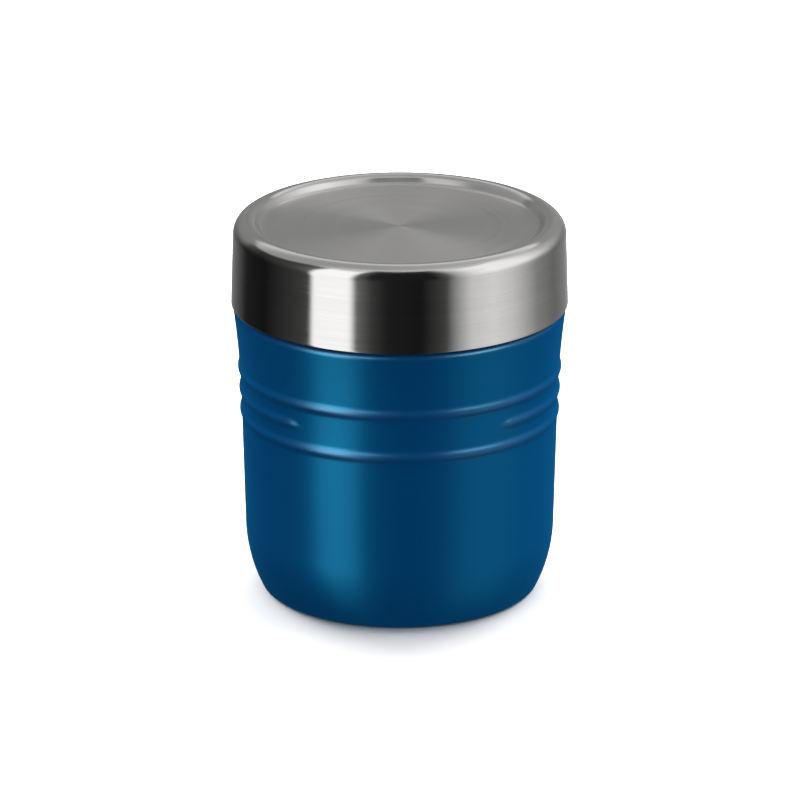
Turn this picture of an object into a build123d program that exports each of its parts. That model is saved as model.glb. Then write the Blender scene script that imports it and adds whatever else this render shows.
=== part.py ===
"""Insulated food jar with a screw-on lid, in millimetres.

+Z is up, the origin is on the ground at the centre of the base, and -Y is the front, where the middle
rib is interrupted. Every piece is a separate solid: a double-walled steel jar, and a lid of a steel
cap, a threaded moulding, foam and a gasket.
"""

import os
from math import atan2, cos, hypot, radians, sin, sqrt, tan

from build123d import *

os.makedirs("parts", exist_ok=True)

# ---------------------------------------------------------------- driving dimensions

# Outer wall of the jar, from the base up
PAD_PROUD = 0.5  # the silicone pad keeps the steel this far off the ground
BASE_ROUND_RADIUS = 47.0  # the large arc between the wall and the base
WALL_LOW_Z = 22.0  # the straight wall runs from here
WALL_HIGH_Z = 62.0  # to here
SHELL_HEIGHT = 93.3  # the shoulder above the ground
SHELL_TOP_RADIUS = 52.5  # the wall's radius at the shoulder
SHELL_FLARE = 2.5  # how much the wall opens out above the straight stretch
WALL_TAPER = 1.0  # how much the straight stretch narrows downwards
SHELL_SHEET = 0.6  # thickness of the drawn sheet, coating included
SHOULDER_FILLET = 2.0
BASE_FILLET = 1.0
BASE_FLANGE_WIDTH = 4.8  # the shell turns in under the base by this much

# Ribs rolled into the wall
TOP_RIB_Z = 72.8
RIB_PITCH = 7.0
RIB_HEIGHT = 0.55
RIB_WIDTH = 4.6
RIB_GAP_HALF_ANGLE = 36.5  # the middle rib stops this far each side of the front
RIB_RAMP_ANGLE = 3.5  # how steeply its ends run out into the wall
RIB_RAMP_BITE = 0.1  # how far the run-out reaches below the wall's face

# Neck and mouth
SHOULDER_WIDTH = 6.3  # from the wall's top edge in to the neck
NECK_SHEET = 1.0
NECK_FLANGE_WIDTH = 3.0  # welded under the shoulder
NECK_WELD_GAP = 0.1  # the neck slips through the hole in the shoulder
NECK_HEIGHT = 17.5  # from the shoulder to the lip's top
LIP_THICKNESS = 0.8
LIP_FILLET = 0.3
NECK_VACUUM_GAP = 1.2  # between the neck and the liner

# Inner wall
LINER_SHEET = 0.5
LINER_FLOOR_Z = 13.0  # the floor of the food space
LINER_CORNER_RADIUS = 12.0
FOIL_THICKNESS = 0.2
FOIL_MARGIN = 3.0  # the foil stops short of the neck and of the weld

# Base, stacked on the shell's flange
CAP_SHEET = 0.6
CAP_EDGE_GAP = 1.4  # between the discs' edge and the shell's corner
CAP_DISH_MARGIN = 3.0  # the middle of the cap is raised from here inside the pad
CAP_DISH_RISE = 0.9
CAP_DISH_SLOPE = 1.5
PAD_WIDTH = 6.6
PAD_EDGE_GAP = 0.6  # between the pad and the shell's flange
PAD_FILLET = 0.35
VACUUM_BASE_SHEET = 0.6
VACUUM_BASE_RIM = 4.5
VACUUM_BASE_RISE = 3.5
VACUUM_BASE_SLOPE = 3.0
DIMPLE_RADIUS = 5.0
DIMPLE_DEPTH = 0.8
PUMP_HOLE_RADIUS = 1.5
SOLDER_RADIUS = 3.0
SOLDER_DROP = 1.0

# Getter, between the vacuum base and the liner
GETTER_OFFSET = 20.0
GETTER_CLIP_LENGTH = 16.0
GETTER_CLIP_WIDTH = 6.0
GETTER_CLIP_SHEET = 0.4
GETTER_RADIUS = 4.0
GETTER_HEIGHT = 2.2
GETTER_CHAMFER = 0.4

# Lid cap
LID_GAP = 0.4  # between the shoulder and the lid's lower edge
LID_OVERHANG = 0.5  # how far the lid's lower edge stands out past the wall
LID_TAPER = 0.75  # the lid narrows upwards by this much
LID_CORNER_RADIUS = 4.9
LID_SHEET = 0.6
LID_HEM_WIDTH = 2.4  # the lower edge turns in under the moulding
LID_HEM_FILLET = 0.35
LID_DISC_RECESS = 2.8  # the flat disc in the top lies this far below the crest
LID_SLOPE_ANGLE = 49.0  # of the slope between them
LID_CREST_ROUND = 3.0  # from the crest into the slope
LID_DISC_ROUND = 2.2  # from the slope into the disc

# Lid moulding, foam, cover and gasket
CORE_WALL = 2.2
CORE_DECK = 2.0
CORE_PLUG_WALL = 1.5
CORE_PLUG_DEPTH = 9.0  # how far the plug hangs below the deck
CORE_PLUG_CLEARANCE = 1.1  # between the plug and the liner
CORE_PLUG_FILLET = 1.0
CORE_FLANGE = 1.5
CORE_EDGE_CLEARANCE = 0.2  # between the moulding and the cap around it
COVER_THICKNESS = 1.4
COVER_EDGE_STEP = 1.15  # the cover is this much smaller than the deck
FOAM_OVER_DECK = 1.6  # thickness of the foam between the deck and the cover
FOAM_CLEARANCE = 0.2
SEAL_THICKNESS = 2.0
SEAL_LEG = 0.7  # each lip of the gasket
SEAL_WEB = 1.4
SEAL_OVERLAP = 0.2  # the gasket reaches past the lip's outer edge
SEAL_CLEARANCE = 0.3  # around the plug
KEEPER_HEIGHT = 0.7  # the bead on the plug that keeps the gasket on
KEEPER_REACH = 0.7
KEEPER_DROP = 0.3

# Thread, with several starts so that the lid comes off in few turns
THREAD_STARTS = 3
THREAD_LEAD = 12.0  # rise in one turn
THREAD_DEPTH = 1.1
THREAD_ROOT_WIDTH = 1.8
THREAD_CREST_WIDTH = 1.0
THREAD_CLEARANCE = 0.4  # between a crest and the wall opposite
THREAD_BURIED = 0.3  # how far a ridge starts inside the wall that carries it
NECK_THREAD_START = 4.7  # the first neck ridge's middle above the shoulder
NECK_THREAD_TURN = 250.0  # degrees
LID_THREAD_TURN = 120.0

# ---------------------------------------------------------------- derived sizes

wall_high_radius = SHELL_TOP_RADIUS - SHELL_FLARE
wall_low_radius = wall_high_radius - WALL_TAPER
base_round_centre = wall_low_radius - BASE_ROUND_RADIUS


def base_edge_radius(inset=0.0):
    """Radius where the base's arc meets the flat flange, for the shell's face moved in by inset."""
    rise = WALL_LOW_Z - PAD_PROUD - inset
    return base_round_centre + sqrt((BASE_ROUND_RADIUS - inset) ** 2 - rise**2)


def wall_radius(z):
    """Radius of the wall's outer face on its straight stretch, or on the flare above it."""
    lean = atan2(WALL_TAPER, WALL_HIGH_Z - WALL_LOW_Z)
    if z <= WALL_HIGH_Z:
        return wall_high_radius - WALL_TAPER * (WALL_HIGH_Z - z) / (WALL_HIGH_Z - WALL_LOW_Z)
    across, up = SHELL_FLARE, SHELL_HEIGHT - WALL_HIGH_Z
    flare_radius = hypot(across, up) ** 2 / (2 * (across * cos(lean) - up * sin(lean)))
    centre_radius = wall_high_radius + flare_radius * cos(lean)
    centre_z = WALL_HIGH_Z - flare_radius * sin(lean)
    return centre_radius - sqrt(flare_radius**2 - (z - centre_z) ** 2)


flange_radius = base_edge_radius() - BASE_FLANGE_WIDTH
neck_radius = SHELL_TOP_RADIUS - SHOULDER_WIDTH
neck_bore = neck_radius - NECK_SHEET
liner_outer = neck_bore - NECK_VACUUM_GAP
liner_inner = liner_outer - LINER_SHEET
lip_top = SHELL_HEIGHT + NECK_HEIGHT
lip_bottom = lip_top - LIP_THICKNESS
weld_z = LINER_FLOOR_Z + LINER_CORNER_RADIUS

cap_bottom = PAD_PROUD + SHELL_SHEET
cap_top = cap_bottom + CAP_SHEET
cap_radius = base_edge_radius(SHELL_SHEET) - CAP_EDGE_GAP
vacuum_base_floor = cap_top + VACUUM_BASE_RISE
vacuum_base_top = vacuum_base_floor + VACUUM_BASE_SHEET
dimple_bottom = vacuum_base_floor - DIMPLE_DEPTH
pad_outer = flange_radius - PAD_EDGE_GAP
pad_inner = pad_outer - PAD_WIDTH
dish_radius = pad_inner - CAP_DISH_MARGIN

core_bore = neck_radius + THREAD_DEPTH + THREAD_CLEARANCE
core_outer = core_bore + CORE_WALL
deck_bottom = lip_top + SEAL_THICKNESS
deck_top = deck_bottom + CORE_DECK
plug_radius = liner_inner - CORE_PLUG_CLEARANCE
plug_bottom = deck_bottom - CORE_PLUG_DEPTH
foam_radius = plug_radius - CORE_PLUG_WALL - FOAM_CLEARANCE
cover_bottom = deck_top + FOAM_OVER_DECK
cover_radius = core_outer - COVER_EDGE_STEP
keeper_top = lip_top - KEEPER_DROP

lid_bottom = SHELL_HEIGHT + LID_GAP
disc_top = cover_bottom + COVER_THICKNESS + LID_SHEET
lid_top = disc_top + LID_DISC_RECESS
lid_low_radius = SHELL_TOP_RADIUS + LID_OVERHANG
lid_high_radius = lid_low_radius - LID_TAPER
lid_corner_z = lid_top - LID_CORNER_RADIUS
lid_crest_radius = lid_high_radius - LID_CORNER_RADIUS
slope_angle = radians(LID_SLOPE_ANGLE)
slope_rounds = LID_CREST_ROUND + LID_DISC_ROUND
slope_straight_drop = LID_DISC_RECESS - slope_rounds * (1 - cos(slope_angle))
disc_radius = (
    lid_crest_radius - slope_rounds * sin(slope_angle) - slope_straight_drop / tan(slope_angle)
)
hem_top = lid_bottom + LID_SHEET

thread_pitch = THREAD_LEAD / THREAD_STARTS
neck_thread_z = SHELL_HEIGHT + NECK_THREAD_START
lid_thread_z = neck_thread_z - thread_pitch / 2  # half way between two neck ridges


# ---------------------------------------------------------------- shared outlines


def radial_plane(angle):
    """The plane through the axis at this angle about +Z: its x runs outwards and its y runs up."""
    outwards = (cos(radians(angle)), sin(radians(angle)), 0)
    return Plane(origin=(0, 0, 0), x_dir=outwards, z_dir=(outwards[1], -outwards[0], 0))


def shell_section(inset):
    """Half section of the jar's outside, solid to the axis, with every face moved in by inset."""
    foot = PAD_PROUD + inset
    top = SHELL_HEIGHT - inset
    low = (wall_low_radius - inset, WALL_LOW_Z)
    high = (wall_high_radius - inset, WALL_HIGH_Z)
    with BuildSketch() as section:
        with BuildLine():
            Polyline((0, top), (0, foot), (base_edge_radius(inset), foot))
            TangentArc(
                low,
                (base_edge_radius(inset), foot),
                tangent=(low[0] - high[0], low[1] - high[1]),
            )
            Line(low, high)
            TangentArc(
                high,
                (SHELL_TOP_RADIUS - inset, top),
                tangent=(high[0] - low[0], high[1] - low[1]),
            )
            Line((SHELL_TOP_RADIUS - inset, top), (0, top))
        make_face()
        fillet(section.vertices().sort_by(Axis.X)[-1], SHOULDER_FILLET - inset)
    return section.sketch


def rib_section(z, inset):
    """Section of a rib's bulge at height z, moved in by inset and closed a sheet's thickness
    behind the wall's face."""
    low, high = z - RIB_WIDTH / 2, z + RIB_WIDTH / 2
    foot = (wall_radius(low) - inset, low)
    head = (wall_radius(high) - inset, high)
    crest = (wall_radius(z) + RIB_HEIGHT - inset, z)
    with BuildSketch() as section:
        with BuildLine():
            ThreePointArc(foot, crest, head)
            Polyline(head, (head[0] - SHELL_SHEET, high), (foot[0] - SHELL_SHEET, low), foot)
        make_face()
    return section.sketch


def thread_section(side):
    """Trapezoid of a thread ridge that stands out by THREAD_DEPTH on the given side, 1 or -1."""
    with BuildSketch() as section:
        with BuildLine():
            Polyline(
                (-side * THREAD_BURIED, -THREAD_ROOT_WIDTH / 2),
                (side * THREAD_DEPTH, -THREAD_CREST_WIDTH / 2),
                (side * THREAD_DEPTH, THREAD_CREST_WIDTH / 2),
                (-side * THREAD_BURIED, THREAD_ROOT_WIDTH / 2),
                close=True,
            )
        make_face()
    return section.sketch


def thread_ridge(radius, start_z, turn, side):
    """One start of a right-handed thread on a wall of this radius."""
    with BuildPart() as ridge:
        with BuildLine() as path:
            Helix(
                pitch=THREAD_LEAD,
                height=THREAD_LEAD * turn / 360,
                radius=radius,
                center=(0, 0, start_z),
            )
        with BuildSketch(Plane(origin=path.line @ 0, x_dir=(1, 0, 0), z_dir=path.line % 0)):
            add(thread_section(side))
        sweep(path=path.line, is_frenet=True)
    return ridge.part


# ---------------------------------------------------------------- the jar


def full_rib(z, inset):
    """A rib's bulge all round the wall, moved in by inset."""
    with BuildPart() as rib:
        with BuildSketch(Plane.XZ):
            add(rib_section(z, inset))
        revolve(axis=Axis.Z)
    return rib.part


def open_rib(z, inset):
    """A rib's bulge that stops each side of the front, where planes that lean out of the wall
    cut its ends off, so that they run out into the wall."""
    first_end = -90 + RIB_GAP_HALF_ANGLE
    last_end = 270 - RIB_GAP_HALF_ANGLE
    with BuildPart() as rib:
        with BuildSketch(radial_plane(first_end)):
            add(rib_section(z, inset))
        revolve(axis=Axis.Z, revolution_arc=last_end - first_end)
        for angle, side in ((first_end, 1), (last_end, -1)):
            outwards = Vector(cos(radians(angle)), sin(radians(angle)), 0)
            along = Vector(-outwards.Y, outwards.X, 0) * side
            lean = radians(RIB_RAMP_ANGLE)
            ramp = Plane(
                origin=outwards * (wall_radius(z) - inset - RIB_RAMP_BITE) + Vector(0, 0, z),
                x_dir=along * cos(lean) + outwards * sin(lean),
                z_dir=outwards * cos(lean) - along * sin(lean),
            )
            with BuildSketch(ramp):
                Rectangle(4 * RIB_PITCH, 2 * RIB_WIDTH)
            extrude(amount=2 * RIB_PITCH, mode=Mode.SUBTRACT)
    return rib.part


# The outer wall, drawn from one sheet. The ribs are rolled in, so the sheet bulges on both faces.
ribs = (
    (TOP_RIB_Z, full_rib),
    (TOP_RIB_Z - RIB_PITCH, open_rib),
    (TOP_RIB_Z - 2 * RIB_PITCH, full_rib),
)
with BuildPart() as outer_shell:
    with BuildSketch(Plane.XZ):
        add(shell_section(0))
    revolve(axis=Axis.Z)
    fillet(outer_shell.edges().group_by(Axis.Z)[0], BASE_FILLET)
    for rib_z, rib in ribs:
        add(rib(rib_z, 0))
    with BuildSketch(Plane.XZ):
        add(shell_section(SHELL_SHEET))
    revolve(axis=Axis.Z, mode=Mode.SUBTRACT)
    for rib_z, rib in ribs:
        add(rib(rib_z, SHELL_SHEET), mode=Mode.SUBTRACT)
    with BuildSketch(Plane.XY.offset(PAD_PROUD)):
        Circle(flange_radius)
    extrude(amount=SHELL_SHEET, mode=Mode.SUBTRACT)
    with BuildSketch(Plane.XY.offset(SHELL_HEIGHT)):
        Circle(neck_radius + NECK_WELD_GAP)
    extrude(amount=-SHELL_SHEET, mode=Mode.SUBTRACT)
outer_shell.part.label = "outer_shell"
export_step(outer_shell.part, "parts/outer_shell.step")

# The threaded neck: a short tube with a flange that is welded under the shoulder.
neck_ridge = thread_ridge(neck_radius, neck_thread_z, NECK_THREAD_TURN, 1)
with BuildPart() as neck_ring:
    with BuildSketch(Plane.XZ):
        with BuildLine():
            flange_top = SHELL_HEIGHT - SHELL_SHEET
            Polyline(
                (neck_bore, lip_bottom),
                (neck_bore, flange_top - NECK_SHEET),
                (neck_radius + NECK_FLANGE_WIDTH, flange_top - NECK_SHEET),
                (neck_radius + NECK_FLANGE_WIDTH, flange_top),
                (neck_radius, flange_top),
                (neck_radius, lip_bottom),
                close=True,
            )
        make_face()
    revolve(axis=Axis.Z)
    with PolarLocations(0, THREAD_STARTS):
        add(neck_ridge)
neck_ring.part.label = "neck_ring"
export_step(neck_ring.part, "parts/neck_ring.step")

# The inner wall, with the lip that closes the gap to the neck.
with BuildPart() as liner_tube:
    with BuildSketch(Plane.XZ):
        with BuildLine():
            Polyline(
                (liner_inner, weld_z),
                (liner_outer, weld_z),
                (liner_outer, lip_bottom),
                (neck_radius, lip_bottom),
                (neck_radius, lip_top),
                (liner_inner, lip_top),
                close=True,
            )
        make_face()
    revolve(axis=Axis.Z)
    fillet(liner_tube.edges().group_by(Axis.Z)[-1], LIP_FILLET)
liner_tube.part.label = "liner_tube"
export_step(liner_tube.part, "parts/liner_tube.step")

# The liner's drawn bottom, welded on below the corner.
with BuildPart() as liner_bottom:
    with BuildSketch(Plane.XZ):
        for radius, mode in ((liner_outer, Mode.ADD), (liner_inner, Mode.SUBTRACT)):
            floor = LINER_FLOOR_Z - (radius - liner_inner)
            with BuildLine():
                corner = Line((0, floor), (liner_inner - LINER_CORNER_RADIUS, floor))
                RadiusArc(corner @ 1, (radius, weld_z), -(weld_z - floor))
                Polyline((radius, weld_z), (0, weld_z), (0, floor))
            make_face(mode=mode)
    revolve(axis=Axis.Z)
liner_bottom.part.label = "liner_bottom"
export_step(liner_bottom.part, "parts/liner_bottom.step")

# Foil around the liner, which reflects heat back.
with BuildPart() as copper_foil:
    foil_bottom = weld_z + FOIL_MARGIN
    with BuildSketch(Plane.XY.offset(foil_bottom)):
        Circle(liner_outer + FOIL_THICKNESS)
        Circle(liner_outer, mode=Mode.SUBTRACT)
    extrude(amount=SHELL_HEIGHT - SHELL_SHEET - NECK_SHEET - FOIL_MARGIN - foil_bottom)
copper_foil.part.label = "copper_foil"
export_step(copper_foil.part, "parts/copper_foil.step")

# The steel cover under the vacuum base, which lies on the shell's flange.
with BuildPart() as base_cap:
    with BuildSketch(Plane.XZ):
        with BuildLine():
            dish_floor = cap_bottom + CAP_DISH_RISE
            Polyline(
                (0, dish_floor),
                (dish_radius - CAP_DISH_SLOPE, dish_floor),
                (dish_radius, cap_bottom),
                (cap_radius, cap_bottom),
                (cap_radius, cap_top),
                (dish_radius, cap_top),
                (dish_radius - CAP_DISH_SLOPE, dish_floor + CAP_SHEET),
                (0, dish_floor + CAP_SHEET),
                close=True,
            )
        make_face()
    revolve(axis=Axis.Z)
base_cap.part.label = "base_cap"
export_step(base_cap.part, "parts/base_cap.step")

# The silicone ring that the jar stands on.
with BuildPart() as base_pad:
    with BuildSketch():
        Circle(pad_outer)
        Circle(pad_inner, mode=Mode.SUBTRACT)
    extrude(amount=cap_bottom)
    fillet(base_pad.edges().group_by(Axis.Z)[0], PAD_FILLET)
base_pad.part.label = "base_pad"
export_step(base_pad.part, "parts/base_pad.step")

# The disc that closes the vacuum gap, with the pump-out hole in its dimple.
with BuildPart() as vacuum_base:
    with BuildSketch(Plane.XZ):
        rim_inner = cap_radius - VACUUM_BASE_RIM
        flat_radius = rim_inner - VACUUM_BASE_SLOPE
        underside = [
            (PUMP_HOLE_RADIUS, dimple_bottom),
            (DIMPLE_RADIUS - DIMPLE_DEPTH, dimple_bottom),
            (DIMPLE_RADIUS, vacuum_base_floor),
            (flat_radius, vacuum_base_floor),
            (rim_inner, cap_top),
            (cap_radius, cap_top),
        ]
        upper_side = [(r, z + VACUUM_BASE_SHEET) for r, z in reversed(underside)]
        with BuildLine():
            Polyline(*underside, *upper_side, close=True)
        make_face()
    revolve(axis=Axis.Z)
vacuum_base.part.label = "vacuum_base"
export_step(vacuum_base.part, "parts/vacuum_base.step")

# The glass bead that closes the pump-out hole from below.
with BuildPart() as solder_seal:
    with BuildSketch(Plane.XZ):
        with BuildLine():
            bead_bottom = dimple_bottom - SOLDER_DROP
            dome = ThreePointArc(
                (0, bead_bottom),
                (SOLDER_RADIUS * cos(radians(45)), dimple_bottom - SOLDER_DROP * sin(radians(45))),
                (SOLDER_RADIUS, dimple_bottom),
            )
            Polyline(dome @ 1, (0, dimple_bottom), dome @ 0)
        make_face()
    revolve(axis=Axis.Z)
solder_seal.part.label = "solder_seal"
export_step(solder_seal.part, "parts/solder_seal.step")

# The getter on its clip, which is spot-welded to the vacuum base.
with BuildPart() as getter_clip:
    with BuildSketch(Plane.XY.offset(vacuum_base_top)):
        with Locations((GETTER_OFFSET, 0)):
            Rectangle(GETTER_CLIP_WIDTH, GETTER_CLIP_LENGTH)
    extrude(amount=GETTER_CLIP_SHEET)
getter_clip.part.label = "getter_clip"
export_step(getter_clip.part, "parts/getter_clip.step")

with BuildPart() as getter_pellet:
    with BuildSketch(Plane.XY.offset(vacuum_base_top + GETTER_CLIP_SHEET)):
        with Locations((GETTER_OFFSET, 0)):
            Circle(GETTER_RADIUS)
    extrude(amount=GETTER_HEIGHT)
    chamfer(getter_pellet.edges().group_by(Axis.Z)[-1], GETTER_CHAMFER)
getter_pellet.part.label = "getter_pellet"
export_step(getter_pellet.part, "parts/getter_pellet.step")

# ---------------------------------------------------------------- the lid


def cap_section(inset):
    """Half section of the lid's outside, solid to the axis, with every face moved in by inset."""
    with BuildSketch() as section:
        with BuildLine():
            side = Line(
                (lid_low_radius - inset, lid_bottom + inset),
                (lid_high_radius - inset, lid_corner_z),
            )
            crest = CenterArc(
                (lid_crest_radius, lid_top - LID_CREST_ROUND),
                LID_CREST_ROUND - inset,
                90,
                LID_SLOPE_ANGLE,
            )
            disc_edge = CenterArc(
                (disc_radius, disc_top + LID_DISC_ROUND),
                LID_DISC_ROUND + inset,
                LID_SLOPE_ANGLE - 90,
                -LID_SLOPE_ANGLE,
            )
            RadiusArc(side @ 1, crest @ 0, -(LID_CORNER_RADIUS - inset))
            Line(crest @ 1, disc_edge @ 0)
            Polyline(disc_edge @ 1, (0, disc_top - inset), (0, lid_bottom + inset), side @ 0)
        make_face()
    return section.sketch


with BuildPart() as lid_shell:
    with BuildSketch(Plane.XZ):
        add(cap_section(0))
    revolve(axis=Axis.Z)
    fillet(lid_shell.edges().group_by(Axis.Z)[0], LID_HEM_FILLET)
    with BuildSketch(Plane.XZ):
        add(cap_section(LID_SHEET))
    revolve(axis=Axis.Z, mode=Mode.SUBTRACT)
    with BuildSketch(Plane.XY.offset(lid_bottom)):
        Circle(lid_low_radius - LID_SHEET - LID_HEM_WIDTH)
    extrude(amount=LID_SHEET, mode=Mode.SUBTRACT)
lid_shell.part.label = "lid_shell"
export_step(lid_shell.part, "parts/lid_shell.step")

# The moulding that carries the thread, the deck above the lip and the plug that hangs into the mouth.
lid_ridge = thread_ridge(core_bore, lid_thread_z, LID_THREAD_TURN, -1)
with BuildPart() as lid_core:
    with BuildSketch(Plane.XZ):
        flange_outer = lid_low_radius - LID_SHEET - CORE_EDGE_CLEARANCE
        with BuildLine():
            Polyline(
                (flange_outer, hem_top),
                (core_bore, hem_top),
                (core_bore, deck_bottom),
                (plug_radius, deck_bottom),
                (plug_radius, keeper_top),
                (plug_radius + KEEPER_REACH, keeper_top),
                (plug_radius + KEEPER_REACH, keeper_top - KEEPER_HEIGHT),
                (plug_radius, keeper_top - KEEPER_HEIGHT),
                (plug_radius, plug_bottom),
                (0, plug_bottom),
                (0, plug_bottom + CORE_PLUG_WALL),
                (plug_radius - CORE_PLUG_WALL, plug_bottom + CORE_PLUG_WALL),
                (plug_radius - CORE_PLUG_WALL, deck_top),
                (core_outer, deck_top),
                (core_outer, hem_top + CORE_FLANGE),
                (flange_outer, hem_top + CORE_FLANGE),
                close=True,
            )
        make_face()
    revolve(axis=Axis.Z)
    plug_edge = lid_core.edges().filter_by(GeomType.CIRCLE).filter_by_position(
        Axis.Z, plug_bottom, plug_bottom
    )
    fillet(plug_edge, CORE_PLUG_FILLET)
    with PolarLocations(0, THREAD_STARTS):
        add(lid_ridge)
lid_core.part.label = "lid_core"
export_step(lid_core.part, "parts/lid_core.step")

# Foam that fills the plug and lies on the deck.
with BuildPart() as lid_foam:
    with BuildSketch(Plane.XY.offset(plug_bottom + CORE_PLUG_WALL)):
        Circle(foam_radius)
    extrude(amount=deck_top - plug_bottom - CORE_PLUG_WALL)
    with BuildSketch(Plane.XY.offset(deck_top)):
        Circle(cover_radius)
    extrude(amount=cover_bottom - deck_top)
lid_foam.part.label = "lid_foam"
export_step(lid_foam.part, "parts/lid_foam.step")

# The disc that closes the foam cavity, under the steel cap.
with BuildPart() as lid_cover:
    with BuildSketch(Plane.XY.offset(cover_bottom)):
        Circle(cover_radius)
    extrude(amount=COVER_THICKNESS)
lid_cover.part.label = "lid_cover"
export_step(lid_cover.part, "parts/lid_cover.step")

# The gasket: two lips joined by a web, squeezed between the deck and the jar's lip.
with BuildPart() as seal_ring:
    with BuildSketch(Plane.XZ):
        seal_inner = plug_radius + SEAL_CLEARANCE
        seal_outer = neck_radius + SEAL_OVERLAP
        web_outer = seal_inner + SEAL_WEB
        with BuildLine():
            Polyline(
                (seal_inner, lip_top),
                (seal_outer, lip_top),
                (seal_outer, lip_top + SEAL_LEG),
                (web_outer, lip_top + SEAL_LEG),
                (web_outer, deck_bottom - SEAL_LEG),
                (seal_outer, deck_bottom - SEAL_LEG),
                (seal_outer, deck_bottom),
                (seal_inner, deck_bottom),
                close=True,
            )
        make_face()
    revolve(axis=Axis.Z)
seal_ring.part.label = "seal_ring"
export_step(seal_ring.part, "parts/seal_ring.step")
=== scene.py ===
"""Insulated food jar with a screw-on steel lid: its looks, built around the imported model.

Sizes are written in millimetres and drawn in metres. +Z is up and -Y is the front, where the middle
bead is interrupted. The sections follow the jar as it is put together.
"""

from math import atan2, cos, degrees, pi, radians, sin, sqrt, tan

import bpy
import numpy as np
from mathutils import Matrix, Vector


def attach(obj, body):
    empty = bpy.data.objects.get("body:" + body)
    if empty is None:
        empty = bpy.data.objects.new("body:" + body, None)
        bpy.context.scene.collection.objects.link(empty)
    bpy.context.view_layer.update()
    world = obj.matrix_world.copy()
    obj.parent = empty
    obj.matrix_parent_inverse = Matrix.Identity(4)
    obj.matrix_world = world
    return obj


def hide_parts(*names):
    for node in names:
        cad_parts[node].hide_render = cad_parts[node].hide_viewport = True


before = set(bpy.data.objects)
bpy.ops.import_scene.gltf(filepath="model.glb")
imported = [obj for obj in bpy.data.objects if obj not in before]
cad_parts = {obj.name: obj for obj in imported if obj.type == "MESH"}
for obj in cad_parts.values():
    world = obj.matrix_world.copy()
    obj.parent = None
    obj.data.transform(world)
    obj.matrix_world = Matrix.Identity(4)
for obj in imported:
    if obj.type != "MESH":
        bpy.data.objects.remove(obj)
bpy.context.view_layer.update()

# ================================================================ outer wall
# The jar's outer wall is drawn from one steel sheet. Its foot is turned in to carry the base, three
# beads are rolled into it below the shoulder, and the middle bead runs out each side of the front.
# It is sprayed with a deep blue powder coat, which bakes to a fine satin skin.

MM = 0.001
STEPS = 320  # facets around the axis
POLE = 0.008  # a ring this small on the axis is merged into one point

SHEET = 0.6
FOOT_Z = 0.5
FOOT_INNER = 39.0
FOOT_ROUND = 1.0
BASE_ARC = 47.0  # the large arc between the base and the wall
WALL_LOW = (49.0, 22.0)
WALL_HIGH = (50.0, 62.0)
SHOULDER = (52.5, 93.3)
SHOULDER_ROUND = 2.0
NECK_HOLE = 46.3

BEAD_HEIGHTS = (58.8, 65.8, 72.8)
BEAD_PROUD = 0.6
BEAD_WIDTH = 4.7
BEAD_GAP = 37.5  # degrees each side of the front where the middle bead is missing
BEAD_RAMP = 5.5  # degrees over which its ends run out


def lathe(name, outline, closed=True, steps=STEPS):
    """A turned piece: a ring at the outline's first (radius, height), extruded from point to point."""
    bpy.ops.object.select_all(action="DESELECT")
    radius, height = outline[0]
    bpy.ops.mesh.primitive_circle_add(
        vertices=steps, radius=radius * MM, location=(0, 0, height * MM), enter_editmode=True
    )
    piece = bpy.context.active_object
    piece.name = name
    if closed:
        outline = [*outline, outline[0]]
    for (r0, z0), (r1, z1) in zip(outline, outline[1:]):
        bpy.ops.mesh.extrude_edges_move(TRANSFORM_OT_translate={"value": (0, 0, (z1 - z0) * MM)})
        bpy.ops.transform.resize(value=(r1 / r0, r1 / r0, 1), center_override=(0, 0, 0))
    bpy.ops.mesh.select_all(action="SELECT")
    bpy.ops.mesh.remove_doubles(threshold=0.02 * MM)
    bpy.ops.mesh.delete_loose()
    bpy.ops.mesh.select_all(action="SELECT")
    bpy.ops.mesh.normals_make_consistent(inside=False)
    bpy.ops.object.mode_set(mode="OBJECT")
    bpy.ops.object.transform_apply(location=True, rotation=False, scale=False)
    return piece


def round_ring(piece, radius, height, offset, segments=4):
    """Bevels the ring of edges at this radius and height."""
    bpy.ops.object.select_all(action="DESELECT")
    bpy.context.view_layer.objects.active = piece
    piece.select_set(True)
    places = np.empty(len(piece.data.vertices) * 3)
    piece.data.vertices.foreach_get("co", places)
    places = places.reshape(-1, 3) / MM
    near = np.abs(np.hypot(places[:, 0], places[:, 1]) - radius) < 0.02
    near &= np.abs(places[:, 2] - height) < 0.02
    ends = np.empty(len(piece.data.edges) * 2, int)
    piece.data.edges.foreach_get("vertices", ends)
    bpy.ops.object.mode_set(mode="EDIT")
    bpy.ops.mesh.select_mode(type="EDGE")
    bpy.ops.mesh.select_all(action="DESELECT")
    bpy.ops.object.mode_set(mode="OBJECT")
    piece.data.edges.foreach_set("select", near[ends.reshape(-1, 2)].all(axis=1))
    bpy.ops.object.mode_set(mode="EDIT")
    bpy.ops.mesh.bevel(offset=offset * MM, segments=segments, affect="EDGES")
    bpy.ops.object.mode_set(mode="OBJECT")


def smooth(piece, angle=30):
    bpy.ops.object.select_all(action="DESELECT")
    bpy.context.view_layer.objects.active = piece
    piece.select_set(True)
    bpy.ops.object.shade_smooth_by_angle(angle=radians(angle))


def arc(centre, radius, first, last, steps):
    """Points of an arc, in degrees from the outward direction, upwards."""
    angles = [radians(first + (last - first) * i / steps) for i in range(steps + 1)]
    return [(centre[0] + radius * cos(a), centre[1] + radius * sin(a)) for a in angles]


base_centre = (WALL_LOW[0] - BASE_ARC, WALL_LOW[1])


def base_arc(inset, steps):
    """The large arc from the foot up to the wall."""
    foot_angle = -np.degrees(np.arcsin((WALL_LOW[1] - FOOT_Z - inset) / (BASE_ARC - inset)))
    return arc(base_centre, BASE_ARC - inset, foot_angle, 0, steps)


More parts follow.
